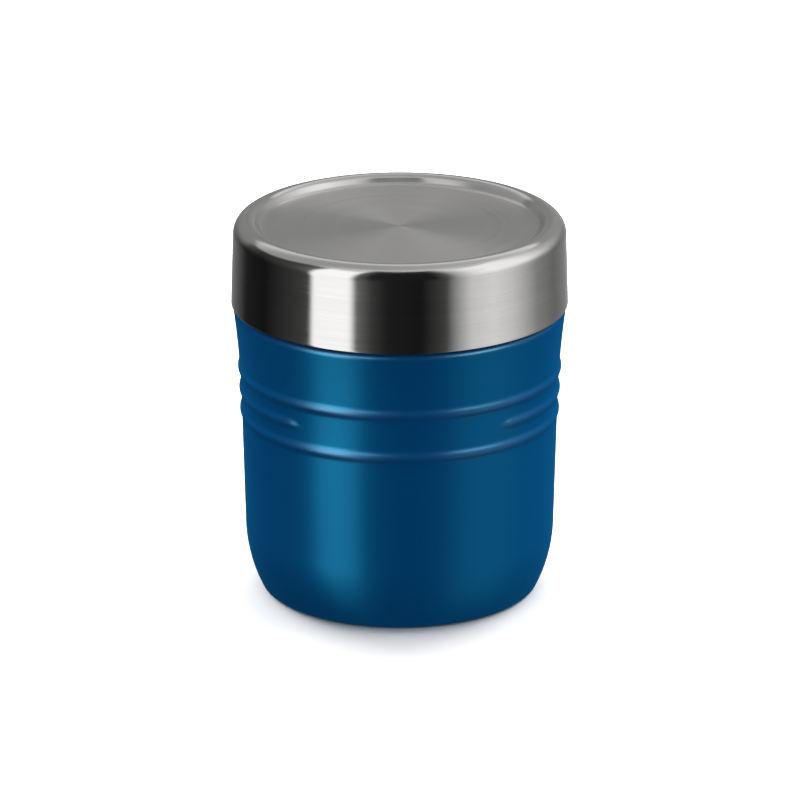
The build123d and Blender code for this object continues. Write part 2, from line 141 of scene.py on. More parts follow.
lean = atan2(WALL_HIGH[0] - WALL_LOW[0], WALL_HIGH[1] - WALL_LOW[1])
across, up = SHOULDER[0] - WALL_HIGH[0], SHOULDER[1] - WALL_HIGH[1]
flare = (across**2 + up**2) / (2 * (across * cos(lean) - up * sin(lean)))
flare_centre = (WALL_HIGH[0] + flare * cos(lean), WALL_HIGH[1] - flare * sin(lean))
round_height = SHOULDER[1] - SHOULDER_ROUND
round_reach = sqrt((flare + SHOULDER_ROUND) ** 2 - (round_height - flare_centre[1]) ** 2)
round_radius = flare_centre[0] - round_reach


def flare_arc(inset, steps, round_steps):
    """The wall's opening-out above the straight stretch, and the round into the flat shoulder."""
    end = atan2(round_height - flare_centre[1], round_reach)
    angles = [lean + (end - lean) * i / steps for i in range(steps + 1)]
    reach = flare + inset
    wall = [(flare_centre[0] - reach * cos(a), flare_centre[1] + reach * sin(a)) for a in angles]
    centre = (round_radius, round_height)
    return [*wall, *arc(centre, SHOULDER_ROUND - inset, -degrees(end), 90, round_steps)[1:]]


outer = [(FOOT_INNER, FOOT_Z), (41.5, FOOT_Z), *base_arc(0, 26)]
outer += [
    (WALL_LOW[0] + (WALL_HIGH[0] - WALL_LOW[0]) * t, WALL_LOW[1] + (WALL_HIGH[1] - WALL_LOW[1]) * t)
    for t in (i / 90 for i in range(1, 91))
]
outer += flare_arc(0, 72, 12)[1:]
inner = [*flare_arc(SHEET, 8, 5)[::-1], *base_arc(SHEET, 12)[::-1]]
outer_wall = lathe(
    "outer_wall",
    [
        *outer,
        (NECK_HOLE, SHOULDER[1]),
        (NECK_HOLE, SHOULDER[1] - SHEET),
        *inner,
        (FOOT_INNER, FOOT_Z + SHEET),
    ],
)
base_edge = base_arc(0, 1)[0]
round_ring(outer_wall, *base_edge, FOOT_ROUND * tan(radians(31.4)), 5)

places = np.empty(len(outer_wall.data.vertices) * 3)
outer_wall.data.vertices.foreach_get("co", places)
places = places.reshape(-1, 3)
radius = np.hypot(places[:, 0], places[:, 1])
height = places[:, 2] / MM
around = np.abs(np.degrees(np.arctan2(places[:, 0], -places[:, 1])))
wall_line = np.interp(height, [WALL_LOW[1], WALL_HIGH[1]], [WALL_LOW[0], WALL_HIGH[0]])
on_outside = radius / MM > wall_line - SHEET / 2
proud = np.zeros(len(places))
for middle in BEAD_HEIGHTS:
    away = np.clip((height - middle) / BEAD_WIDTH, -0.5, 0.5)
    bead = BEAD_PROUD * np.cos(pi * away) ** 2
    if middle == BEAD_HEIGHTS[1]:
        cut = np.clip((BEAD_GAP + BEAD_RAMP - around) / BEAD_RAMP, 0, 1)
        bead = np.maximum(bead - BEAD_PROUD * cut * cut * (3 - 2 * cut), 0)
    proud = np.maximum(proud, bead)
places[:, :2] *= 1 + (np.where(on_outside, proud, 0) * MM / radius)[:, None]
outer_wall.data.vertices.foreach_set("co", places.ravel())
outer_wall.data.update()
# Mask for a painted highlight tint: 1 on the beads' crests and flanks and on the shoulder round, where the
# highlights fall, 0 on the plain wall.
pale_highlight = np.maximum(proud / BEAD_PROUD, np.clip((height - round_height) / (SHOULDER_ROUND / 2), 0, 1))
outer_wall.data.attributes.new("thin_coat", "FLOAT", "POINT").data.foreach_set("value", pale_highlight**0.5)
smooth(outer_wall)


class Signal:
    """A socket that gives a number: arithmetic on it adds Math nodes."""

    def __init__(self, nodes, socket):
        self.nodes, self.socket = nodes, socket

    def math(self, operation, *values):
        made = self.nodes.add("ShaderNodeMath", {"operation": operation}, dict(enumerate(values)))
        return made["Value"]

    def __add__(self, other):
        return self.math("ADD", self, other)

    def __sub__(self, other):
        return self.math("SUBTRACT", self, other)

    def __rsub__(self, other):
        return self.math("SUBTRACT", other, self)

    def __mul__(self, other):
        return self.math("MULTIPLY", self, other)

    def __truediv__(self, other):
        return self.math("DIVIDE", self, other)

    def __pow__(self, other):
        return self.math("POWER", self, other)

    __radd__, __rmul__ = __add__, __mul__


class Made:
    """A node that was added: its outputs are read by name."""

    def __init__(self, nodes, node):
        self.nodes, self.node = nodes, node

    def __getitem__(self, output):
        return Signal(self.nodes, self.node.outputs[output])


class Nodes:
    """The nodes of a material or of the surroundings."""

    def __init__(self, owner):
        owner.use_nodes = True
        self.tree = owner.node_tree
        self.tree.nodes.clear()

    def add(self, kind, settings=None, inputs=None):
        """Adds a node, makes its settings, then sets or links its inputs."""
        node = self.tree.nodes.new(kind)
        for name, value in (settings or {}).items():
            if name == "stops":
                elements = node.color_ramp.elements
                elements.remove(elements[1])
                elements[0].position, elements[0].color = value[0]
                for position, colour in value[1:]:
                    elements.new(position).color = colour
            elif name == "interpolation":
                node.color_ramp.interpolation = value
            else:
                setattr(node, name, value)
        for name, value in (inputs or {}).items():
            if isinstance(value, Signal):
                self.tree.links.new(value.socket, node.inputs[name])
            else:
                node.inputs[name].default_value = value
        return Made(self, node)


finishes = {}


def finish(piece, recipe):
    """Gives a piece the material that a recipe builds, in place of what it had."""
    if recipe not in finishes:
        finishes[recipe] = bpy.data.materials.new(recipe.__name__)
        nodes = Nodes(finishes[recipe])
        surface = Signal(nodes, recipe(nodes).node.outputs[0])
        nodes.add("ShaderNodeOutputMaterial", inputs={"Surface": surface})
    piece.data.materials.clear()
    piece.data.materials.append(finishes[recipe])


PIGMENT_DEEP = (0.0006, 0.062, 0.212, 1)
PIGMENT_LIGHT = (0.0008, 0.069, 0.228, 1)
SHEEN_BLUE = (0.04, 0.62, 1.0, 1)
SHEEN_HIGHLIGHT_PALE = (0.30, 0.72, 1.0, 1)  # painted paler tint of the mica's reflection on the beads and the shoulder round, where the highlights fall


def blue_powder_coat(nodes):
    """A deep blue pigment with fine mica in it, whose flakes throw light back in a paler blue."""
    place = nodes.add("ShaderNodeTexCoord")["Object"]
    cloud = nodes.add("ShaderNodeTexNoise", inputs={"Vector": place, "Scale": 60, "Detail": 3})["Fac"]
    skin = nodes.add("ShaderNodeTexNoise", inputs={"Vector": place, "Scale": 1500, "Detail": 2})["Fac"]
    grain = nodes.add("ShaderNodeTexNoise", inputs={"Vector": place, "Scale": 5200, "Detail": 1})["Fac"]
    colour = nodes.add(
        "ShaderNodeMix", {"data_type": "RGBA"}, {"Factor": cloud, 6: PIGMENT_DEEP, 7: PIGMENT_LIGHT}
    )
    bump = nodes.add(
        "ShaderNodeBump", inputs={"Height": skin * 0.7 + grain * 0.3, "Strength": 0.1, "Distance": 0.00004}
    )
    pigment = nodes.add(
        "ShaderNodeBsdfPrincipled",
        inputs={
            "Base Color": Signal(nodes, colour.node.outputs[2]),
            "Roughness": 0.6 + (grain - 0.5) * 0.2,
            "Specular IOR Level": 0.0,
            "Sheen Weight": 0.1,
            "Sheen Tint": (0.1, 0.65, 1.0, 1),
            "Normal": bump["Normal"],
        },
    )
    # The mica's reflection is painted paler where this mask is up, on the beads and the shoulder round, so
    # the highlights there come out whiter.
    pale_highlight = nodes.add("ShaderNodeAttribute", {"attribute_name": "thin_coat"})["Fac"]
    sheen = nodes.add("ShaderNodeMix", {"data_type": "RGBA"}, {"Factor": pale_highlight, 6: SHEEN_BLUE, 7: SHEEN_HIGHLIGHT_PALE})
    mica = nodes.add(
        "ShaderNodeBsdfPrincipled",
        inputs={
            "Base Color": Signal(nodes, sheen.node.outputs[2]),
            "Metallic": 1.0,
            "Specular Tint": SHEEN_BLUE,
            "Roughness": 0.3 + (grain - 0.5) * 0.1,
            "Normal": bump["Normal"],
        },
    )
    return nodes.add(
        "ShaderNodeMixShader",
        inputs={"Fac": 0.065 + (grain - 0.5) * 0.02, 1: pigment["BSDF"], 2: mica["BSDF"]},
    )


finish(outer_wall, blue_powder_coat)
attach(outer_wall, "jar")
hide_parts("outer_shell")

# ================================================================ screw neck
# A short steel tube with a flange that is welded under the shoulder. Three thread ridges are rolled
# into it, each most of a turn long, and they rise to the right and run out into the wall.

NECK_OUTER = 46.2
NECK_BORE = 45.2
NECK_FLANGE = 49.2
NECK_SHEET = 1.0
FLANGE_TOP = SHOULDER[1] - SHEET
LIP_TOP = 110.8
LIP_SHEET = 0.8
THREAD_RISE = 12.0  # in one turn
THREAD_STARTS = 3


def thread_ridge(name, radius, start_z, turn, depth, half_width):
    """One rolled ridge: an oval ring screwed up along the helix, whose ends sink into the wall."""
    bpy.ops.object.select_all(action="DESELECT")
    bpy.ops.mesh.primitive_circle_add(
        vertices=16,
        radius=half_width * MM,
        fill_type="NOTHING",
        location=(radius * MM, 0, start_z * MM),
        rotation=(pi / 2, 0, 0),
    )
    ridge = bpy.context.active_object
    ridge.name = name
    bpy.ops.object.transform_apply(location=True, rotation=True, scale=True)
    bpy.ops.object.mode_set(mode="EDIT")
    bpy.ops.mesh.select_all(action="SELECT")
    bpy.ops.transform.resize(value=(depth / half_width, 1, 1), center_override=(radius * MM, 0, 0))
    bpy.ops.object.mode_set(mode="OBJECT")
    screw = ridge.modifiers.new("rolled", "SCREW")
    screw.axis = "Z"
    screw.angle = radians(turn)
    screw.screw_offset = THREAD_RISE * turn / 360 * MM
    screw.steps = screw.render_steps = int(turn / 2)
    screw.use_merge_vertices = False
    bpy.ops.object.modifier_apply(modifier=screw.name)
    return ridge


def sink_ends(ridge, radius, start_z, turn, ramp):
    """Narrows a ridge towards its helix over the last ramp degrees at each end, then closes it."""
    places = np.empty(len(ridge.data.vertices) * 3)
    ridge.data.vertices.foreach_get("co", places)
    places = places.reshape(-1, 3)
    angle = np.degrees(np.arctan2(places[:, 1], places[:, 0])) % 360
    angle[angle > 350] = 0
    out = np.hypot(places[:, 0], places[:, 1])
    left = np.clip(np.minimum(angle, turn - angle) / ramp, 0, 1)
    left = left * left * (3 - 2 * left)
    middle_z = (start_z + THREAD_RISE * angle / 360) * MM
    places[:, :2] *= ((radius * MM + (out - radius * MM) * (0.12 + 0.88 * left)) / out)[:, None]
    places[:, 2] = middle_z + (places[:, 2] - middle_z) * (0.35 + 0.65 * left)
    ridge.data.vertices.foreach_set("co", places.ravel())
    bpy.ops.object.mode_set(mode="EDIT")
    bpy.ops.mesh.select_all(action="SELECT")
    bpy.ops.mesh.fill_holes(sides=0)
    bpy.ops.mesh.normals_make_consistent(inside=False)
    bpy.ops.object.mode_set(mode="OBJECT")


def add_ridges(piece, ridge):
    """Sets a ridge at each start round the axis and unites them with the wall that carries them."""
    for start in range(THREAD_STARTS):
        copy = ridge.copy()
        copy.data = ridge.data.copy()
        bpy.context.collection.objects.link(copy)
        bpy.ops.object.select_all(action="DESELECT")
        copy.select_set(True)
        bpy.context.view_layer.objects.active = copy
        copy.rotation_euler = (0, 0, 2 * pi * start / THREAD_STARTS)
        bpy.ops.object.transform_apply(location=False, rotation=True, scale=False)
        bpy.ops.object.select_all(action="DESELECT")
        piece.select_set(True)
        bpy.context.view_layer.objects.active = piece
        union = piece.modifiers.new("rolled_in", "BOOLEAN")
        union.operation, union.solver, union.object = "UNION", "EXACT", copy
        bpy.ops.object.modifier_apply(modifier=union.name)
        bpy.data.objects.remove(copy)
    bpy.data.objects.remove(ridge)
    bpy.ops.object.mode_set(mode="EDIT")
    bpy.ops.mesh.select_all(action="SELECT")
    bpy.ops.mesh.remove_doubles(threshold=0.004 * MM)
    bpy.ops.mesh.dissolve_degenerate(threshold=0.004 * MM)
    bpy.ops.object.mode_set(mode="OBJECT")


screw_neck = lathe(
    "screw_neck",
    [
        (NECK_OUTER, FLANGE_TOP),
        (NECK_OUTER, 96.0),
        (NECK_OUTER, 107.6),
        (NECK_OUTER, LIP_TOP - LIP_SHEET),
        (NECK_BORE, LIP_TOP - LIP_SHEET),
        (NECK_BORE, FLANGE_TOP - NECK_SHEET),
        (NECK_FLANGE, FLANGE_TOP - NECK_SHEET),
        (NECK_FLANGE, FLANGE_TOP),
    ],
    steps=192,
)
round_ring(screw_neck, NECK_OUTER, FLANGE_TOP, 0.5)
neck_ridge = thread_ridge("neck_ridge", NECK_OUTER, 98.0, 250, 1.1, 1.15)
sink_ends(neck_ridge, NECK_OUTER, 98.0, 250, 16)
add_ridges(screw_neck, neck_ridge)
smooth(screw_neck, 40)

STEEL_DARK = (0.50, 0.495, 0.485, 1)
STEEL_LIGHT = (0.62, 0.615, 0.605, 1)


def turned_steel(nodes, roughness, anisotropy, scratch, disc_roughness=None):
    """Steel polished on a turning wheel: fine scratches run round the axis, so that highlights
    stretch across them. A disc can be left coarser than what lies around it."""
    place = nodes.add("ShaderNodeTexCoord")["Object"]
    xyz = nodes.add("ShaderNodeSeparateXYZ", inputs={"Vector": place})
    x, y = xyz["X"], xyz["Y"]
    out = (x * x + y * y) ** 0.5
    across = out - xyz["Z"]
    if disc_roughness:
        roughness = nodes.add(
            "ShaderNodeMapRange",
            inputs={
                "Value": out,
                "From Min": 43 * MM,
                "From Max": 46 * MM,
                "To Min": disc_roughness,
                "To Max": roughness,
            },
        )["Result"]
    drawn = nodes.add(
        "ShaderNodeCombineXYZ", inputs={"X": x * 22, "Y": y * 22, "Z": across * 2600}
    )["Vector"]
    broad = nodes.add(
        "ShaderNodeCombineXYZ", inputs={"X": x * 9, "Y": y * 9, "Z": across * 420}
    )["Vector"]
    hair = nodes.add("ShaderNodeTexNoise", inputs={"Vector": drawn, "Scale": 1.0, "Detail": 3})["Fac"]
    bands = nodes.add("ShaderNodeTexNoise", inputs={"Vector": broad, "Scale": 1.0, "Detail": 2})["Fac"]
    streak = hair * 0.65 + bands * 0.35
    colour = nodes.add(
        "ShaderNodeMix", {"data_type": "RGBA"}, {"Factor": streak, 6: STEEL_DARK, 7: STEEL_LIGHT}
    )
    bump = nodes.add(
        "ShaderNodeBump", inputs={"Height": hair, "Strength": scratch, "Distance": 0.00003}
    )
    return nodes.add(
        "ShaderNodeBsdfPrincipled",
        inputs={
            "Base Color": Signal(nodes, colour.node.outputs[2]),
            "Metallic": 1.0,
            "Roughness": roughness + (streak - 0.5) * 0.16,
            "Anisotropic": anisotropy,
            "Anisotropic Rotation": 0.25,
            "Normal": bump["Normal"],
        },
    )


def polished_steel(nodes):
    return turned_steel(nodes, 0.3, 0.6, 0.06)


finish(screw_neck, polished_steel)
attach(screw_neck, "jar")
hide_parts("neck_ring")

# ================================================================ inner wall
# The food side: a drawn steel tube with a pressed bottom welded to it below the corner. Its top edge
# is rolled out over the neck to make the drinking lip, and the whole inside is polished.

LINER_INNER = 43.5
LINER_OUTER = 44.0
LINER_FLOOR = 13.0
LINER_CORNER = 12.0
corner_centre = (LINER_INNER - LINER_CORNER, LINER_FLOOR + LINER_CORNER)
liner_sheet = LINER_OUTER - LINER_INNER
inner_wall = lathe(
    "inner_wall",
    [
        *arc(corner_centre, LINER_CORNER, -90, 0, 16),
        (LINER_INNER, 60.0),
        (LINER_INNER, LIP_TOP),
        (NECK_OUTER, LIP_TOP),
        (NECK_OUTER, LIP_TOP - LIP_SHEET),
        (LINER_OUTER, LIP_TOP - LIP_SHEET),
        (LINER_OUTER, 60.0),
        *arc(corner_centre, LINER_CORNER + liner_sheet, 0, -90, 16),
        (POLE, LINER_FLOOR - liner_sheet),
        (POLE, LINER_FLOOR),
        (16.0, LINER_FLOOR),
    ],
    steps=256,
)
round_ring(inner_wall, LINER_INNER, LIP_TOP, 0.3)
round_ring(inner_wall, NECK_OUTER, LIP_TOP, 0.3)
smooth(inner_wall)
finish(inner_wall, polished_steel)
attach(inner_wall, "jar")
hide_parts("liner_tube", "liner_bottom")

# ================================================================ inside the vacuum
# Between the walls: copper foil round the liner throws heat back, a stamped disc closes the gap, a
# bead of glass solder seals its pump-out hole, and a getter on a clip takes up stray gas.

for node in ("vacuum_base", "getter_clip"):
    finish(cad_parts[node], polished_steel)


def copper_foil(nodes):
    place = nodes.add("ShaderNodeTexCoord")["Object"]
    creases = nodes.add(
        "ShaderNodeTexVoronoi", {"feature": "DISTANCE_TO_EDGE"}, {"Vector": place, "Scale": 90}
    )["Distance"]
    tarnish = nodes.add("ShaderNodeTexNoise", inputs={"Vector": place, "Scale": 35, "Detail": 4})["Fac"]
    colour = nodes.add(
        "ShaderNodeMix",
        {"data_type": "RGBA"},
        {"Factor": tarnish, 6: (0.72, 0.30, 0.18, 1), 7: (0.90, 0.47, 0.32, 1)},
    )
    bump = nodes.add("ShaderNodeBump", inputs={"Height": creases, "Strength": 0.4, "Distance": 0.0004})
    return nodes.add(
        "ShaderNodeBsdfPrincipled",
        inputs={
            "Base Color": Signal(nodes, colour.node.outputs[2]),
            "Metallic": 1.0,
            "Roughness": 0.2 + tarnish * 0.15,
            "Normal": bump["Normal"],
        },
    )


def getter_alloy(nodes):
    place = nodes.add("ShaderNodeTexCoord")["Object"]
    grains = nodes.add("ShaderNodeTexNoise", inputs={"Vector": place, "Scale": 2500, "Detail": 3})["Fac"]
    bump = nodes.add("ShaderNodeBump", inputs={"Height": grains, "Strength": 0.5, "Distance": 0.0001})
    return nodes.add(
        "ShaderNodeBsdfPrincipled",
        inputs={
            "Base Color": (0.2, 0.2, 0.21, 1),
            "Metallic": 0.7,
            "Roughness": 0.55 + grains * 0.25,
            "Normal": bump["Normal"],
        },
    )


def glass_solder(nodes):
    place = nodes.add("ShaderNodeTexCoord")["Object"]
    swirl = nodes.add("ShaderNodeTexNoise", inputs={"Vector": place, "Scale": 900, "Detail": 2})["Fac"]
    colour = nodes.add(
        "ShaderNodeMix",
        {"data_type": "RGBA"},
        {"Factor": swirl, 6: (0.06, 0.075, 0.08, 1), 7: (0.14, 0.16, 0.16, 1)},
    )
    return nodes.add(
        "ShaderNodeBsdfPrincipled",
        inputs={"Base Color": Signal(nodes, colour.node.outputs[2]), "Roughness": 0.08 + swirl * 0.1},
    )


finish(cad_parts["copper_foil"], copper_foil)
finish(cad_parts["getter_pellet"], getter_alloy)
finish(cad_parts["solder_seal"], glass_solder)

# ================================================================ base
# A pressed steel cover closes the underside. Its middle is raised so that it never touches the
# table, and a ring of soft silicone glued round it makes the jar stand still and quiet.

CAP_BOTTOM = 1.1
CAP_TOP = 1.7
CAP_RADIUS = 42.03
DISH_RADIUS = 28.8
DISH_SLOPE = 1.5
DISH_RISE = 0.9
base_cover = lathe(
    "base_cover",
    [
        (DISH_RADIUS, CAP_BOTTOM),
        (CAP_RADIUS, CAP_BOTTOM),
        (CAP_RADIUS, CAP_TOP),
        (DISH_RADIUS, CAP_TOP),
        (DISH_RADIUS - DISH_SLOPE, CAP_TOP + DISH_RISE),
        (POLE, CAP_TOP + DISH_RISE),
        (POLE, CAP_BOTTOM + DISH_RISE),
        (14.0, CAP_BOTTOM + DISH_RISE),
        (DISH_RADIUS - DISH_SLOPE, CAP_BOTTOM + DISH_RISE),
    ],
    steps=192,
)
round_ring(base_cover, DISH_RADIUS, CAP_BOTTOM, 0.6)
round_ring(base_cover, DISH_RADIUS - DISH_SLOPE, CAP_BOTTOM + DISH_RISE, 0.6)
smooth(base_cover)


def brushed_cap_steel(nodes):
    return turned_steel(nodes, 0.13, 0.85, 0.06, disc_roughness=0.3)


finish(base_cover, brushed_cap_steel)
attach(base_cover, "jar")
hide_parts("base_cap")

PAD_OUTER = 38.4
PAD_INNER = 31.8
PAD_ROUND = 0.35
foot_ring = lathe(
    "foot_ring",
    [
        (PAD_INNER, 0.0),
        (PAD_OUTER, 0.0),
        (PAD_OUTER, CAP_BOTTOM),
        (PAD_INNER, CAP_BOTTOM),
    ],
    steps=192,
)
round_ring(foot_ring, PAD_INNER, 0, PAD_ROUND, 5)
round_ring(foot_ring, PAD_OUTER, 0, PAD_ROUND, 5)
smooth(foot_ring)


def soft_silicone(nodes, dark, light, roughness):
    place = nodes.add("ShaderNodeTexCoord")["Object"]
    cloud = nodes.add("ShaderNodeTexNoise", inputs={"Vector": place, "Scale": 120, "Detail": 4})["Fac"]
    skin = nodes.add("ShaderNodeTexNoise", inputs={"Vector": place, "Scale": 3800, "Detail": 2})["Fac"]
    colour = nodes.add("ShaderNodeMix", {"data_type": "RGBA"}, {"Factor": cloud, 6: dark, 7: light})
    bump = nodes.add("ShaderNodeBump", inputs={"Height": skin, "Strength": 0.2, "Distance": 0.00005})
    return nodes.add(
        "ShaderNodeBsdfPrincipled",
        inputs={
            "Base Color": Signal(nodes, colour.node.outputs[2]),
            "Roughness": roughness + cloud * 0.15,
            "Normal": bump["Normal"],
        },
    )


def foot_silicone(nodes):
    return soft_silicone(nodes, (0.030, 0.032, 0.035, 1), (0.055, 0.058, 0.062, 1), 0.62)


finish(foot_ring, foot_silicone)
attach(foot_ring, "jar")
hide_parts("base_pad")

# ================================================================ lid cap
# One deep-drawn steel cap. Its side leans in a little, its top edge is rounded over to a low crest,
# and the flat disc inside the crest is sunk by the same press. Its lower edge is hemmed inwards under
# the moulding. Side and top are brushed round the axis.

LID_BOTTOM = 93.7
LID_LOW = 53.0
LID_HIGH = 52.25
LID_TOP = 121.2
LID_CORNER = 4.9
DISC_TOP = 118.4
SLOPE_ANGLE = 49.0
CREST_ROUND = 3.0  # from the crest into the slope
DISC_ROUND = 2.2  # from the slope into the disc
HEM_INNER = 50.0
HEM_ROUND = 0.35
crest_radius = LID_HIGH - LID_CORNER
corner_z = LID_TOP - LID_CORNER
lean = radians(SLOPE_ANGLE)
rounds = CREST_ROUND + DISC_ROUND
disc_radius = crest_radius - rounds * sin(lean)
disc_radius -= (LID_TOP - DISC_TOP - rounds * (1 - cos(lean))) / tan(lean)


def slope(inset, steps):
    """The fall from the crest to the disc: an arc over the crest, a straight, and an arc into the disc."""
    over = arc((crest_radius, LID_TOP - CREST_ROUND), CREST_ROUND - inset, 90, 90 + SLOPE_ANGLE, steps)
    under = arc((disc_radius, DISC_TOP + DISC_ROUND), DISC_ROUND + inset, SLOPE_ANGLE - 90, -90, steps)
    return [*over, *under]


side_steps = 24
side = [
    (LID_LOW + (LID_HIGH - LID_LOW) * i / side_steps, LID_BOTTOM + (corner_z - LID_BOTTOM) * i / side_steps)
    for i in range(side_steps)
]
disc_rings = [(disc_radius * (1 - i / 12), DISC_TOP) for i in range(1, 12)]
lid_cap = lathe(
    "lid_cap",
    [
        *side,
        *arc((crest_radius, corner_z), LID_CORNER, 0, 90, 24)[:-1],
        *slope(0, 8),
        *disc_rings,
        (POLE, DISC_TOP),
        (POLE, DISC_TOP - SHEET),
        *slope(SHEET, 5)[::-1],
        *arc((crest_radius, corner_z), LID_CORNER - SHEET, 90, 0, 10)[1:],
        (LID_LOW - SHEET, LID_BOTTOM + SHEET),
        (HEM_INNER, LID_BOTTOM + SHEET),
        (HEM_INNER, LID_BOTTOM),
    ],
)
round_ring(lid_cap, LID_LOW, LID_BOTTOM, HEM_ROUND, 5)
smooth(lid_cap)
finish(lid_cap, brushed_cap_steel)
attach(lid_cap, "lid")
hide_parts("lid_shell")

# ================================================================ lid moulding
# A dark moulded piece pressed into the cap. It carries the lid's thread, the deck that squeezes the
# gasket on the lip, and a hollow plug that hangs into the jar's mouth. Foam fills the plug, and a
# disc is snapped over it.

CORE_BORE = 47.7
CORE_OUTER = 49.9
CORE_FLANGE = 52.2
DECK_BOTTOM = 112.8
DECK_TOP = 114.8
PLUG_RADIUS = 42.4
PLUG_BOTTOM = 103.8
PLUG_WALL = 1.5
KEEPER_RADIUS = 43.1
KEEPER_TOP = 110.5
KEEPER_BOTTOM = 109.8
HEM_TOP = LID_BOTTOM + SHEET
RIM_TOP = HEM_TOP + 1.5
lid_moulding = lathe(
    "lid_moulding",
    [
        (CORE_BORE, HEM_TOP),
        (CORE_BORE, 103.0),
        (CORE_BORE, DECK_BOTTOM),
        (PLUG_RADIUS, DECK_BOTTOM),
        (PLUG_RADIUS, KEEPER_TOP),
        (KEEPER_RADIUS, KEEPER_TOP),
        (KEEPER_RADIUS, KEEPER_BOTTOM),
        (PLUG_RADIUS, KEEPER_BOTTOM),
        (PLUG_RADIUS, PLUG_BOTTOM),
        (20.0, PLUG_BOTTOM),
        (POLE, PLUG_BOTTOM),
        (POLE, PLUG_BOTTOM + PLUG_WALL),
        (PLUG_RADIUS - PLUG_WALL, PLUG_BOTTOM + PLUG_WALL),
        (PLUG_RADIUS - PLUG_WALL, DECK_TOP),
        (CORE_OUTER, DECK_TOP),
        (CORE_OUTER, RIM_TOP),
        (CORE_FLANGE, RIM_TOP),
        (CORE_FLANGE, HEM_TOP),
    ],
    steps=192,
)
round_ring(lid_moulding, PLUG_RADIUS, PLUG_BOTTOM, 1.0, 6)
round_ring(lid_moulding, CORE_BORE, HEM_TOP, 0.35)
round_ring(lid_moulding, KEEPER_RADIUS, KEEPER_BOTTOM, 0.25)
lid_ridge = thread_ridge("lid_ridge", CORE_BORE, 96.0, 120, 1.1, 1.1)
sink_ends(lid_ridge, CORE_BORE, 96.0, 120, 12)
add_ridges(lid_moulding, lid_ridge)
smooth(lid_moulding, 40)


def moulded_polymer(nodes):
    place = nodes.add("ShaderNodeTexCoord")["Object"]
    cloud = nodes.add("ShaderNodeTexNoise", inputs={"Vector": place, "Scale": 80, "Detail": 3})["Fac"]
    spark = nodes.add("ShaderNodeTexNoise", inputs={"Vector": place, "Scale": 3000, "Detail": 2})["Fac"]
    colour = nodes.add(
        "ShaderNodeMix",
        {"data_type": "RGBA"},
        {"Factor": cloud, 6: (0.026, 0.028, 0.031, 1), 7: (0.042, 0.044, 0.048, 1)},
    )
    bump = nodes.add("ShaderNodeBump", inputs={"Height": spark, "Strength": 0.25, "Distance": 0.00005})
    return nodes.add(
        "ShaderNodeBsdfPrincipled",
        inputs={
            "Base Color": Signal(nodes, colour.node.outputs[2]),
            "Roughness": 0.42 + spark * 0.12,
            "Normal": bump["Normal"],
        },
    )


finish(lid_moulding, moulded_polymer)
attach(lid_moulding, "lid")
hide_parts("lid_core")
finish(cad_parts["lid_cover"], moulded_polymer)


def foam_cells(nodes):
    place = nodes.add("ShaderNodeTexCoord")["Object"]
    cells = nodes.add("ShaderNodeTexVoronoi", inputs={"Vector": place, "Scale": 450})["Distance"]
    bump = nodes.add("ShaderNodeBump", inputs={"Height": cells, "Strength": 0.5, "Distance": 0.0004})
    colour = nodes.add(
        "ShaderNodeMix",
        {"data_type": "RGBA"},
        {"Factor": cells, 6: (0.90, 0.90, 0.88, 1), 7: (0.74, 0.74, 0.72, 1)},
    )
    return nodes.add(
        "ShaderNodeBsdfPrincipled",
        inputs={
            "Base Color": Signal(nodes, colour.node.outputs[2]),
            "Roughness": 0.7 + cells * 0.2,
            "Normal": bump["Normal"],
        },
    )


finish(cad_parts["lid_foam"], foam_cells)

# ================================================================ gasket
# A removable ring of pale silicone pushed over the plug and kept on by its bead. Two lips joined by a
# web are squeezed between the deck and the jar's lip when the lid is screwed down.

GASKET_INNER = 42.7
GASKET_OUTER = 46.4
GASKET_WEB = 44.1
GASKET_LEG = 0.7
gasket = lathe(
    "gasket",
    [
        (GASKET_INNER, LIP_TOP),
        (GASKET_OUTER, LIP_TOP),
        (GASKET_OUTER, LIP_TOP + GASKET_LEG),
        (GASKET_WEB, LIP_TOP + GASKET_LEG),
        (GASKET_WEB, DECK_BOTTOM - GASKET_LEG),
        (GASKET_OUTER, DECK_BOTTOM - GASKET_LEG),
        (GASKET_OUTER, DECK_BOTTOM),
        (GASKET_INNER, DECK_BOTTOM),
    ],
    steps=192,
)
for ring in (
    (GASKET_INNER, LIP_TOP),
    (GASKET_OUTER, LIP_TOP),
    (GASKET_OUTER, LIP_TOP + GASKET_LEG),
    (GASKET_OUTER, DECK_BOTTOM - GASKET_LEG),
    (GASKET_OUTER, DECK_BOTTOM),
    (GASKET_INNER, DECK_BOTTOM),
):
    round_ring(gasket, *ring, 0.22, 3)
smooth(gasket)


def gasket_silicone(nodes):
    return soft_silicone(nodes, (0.54, 0.56, 0.56, 1), (0.64, 0.66, 0.66, 1), 0.4)


finish(gasket, gasket_silicone)
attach(gasket, "seal")
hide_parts("seal_ring")

# ================================================================ floor, light and camera
# The jar stands on a seamless pale sweep under soft lamps.

bpy.ops.object.select_all(action="DESELECT")
bpy.ops.mesh.primitive_plane_add(size=16, location=(0, 0, 0))
floor = bpy.context.active_object
floor.name = "floor"
floor_material = bpy.data.materials.new("pale_floor")
nodes = Nodes(floor_material)
white = nodes.add("ShaderNodeBsdfDiffuse", inputs={"Color": (0.7, 0.7, 0.7, 1)})
nodes.add("ShaderNodeOutputMaterial", inputs={"Surface": white["BSDF"]})
floor.data.materials.append(floor_material)
floor.visible_glossy = False
floor.visible_diffuse = False
floor.visible_transmission = False
floor.visible_shadow = False

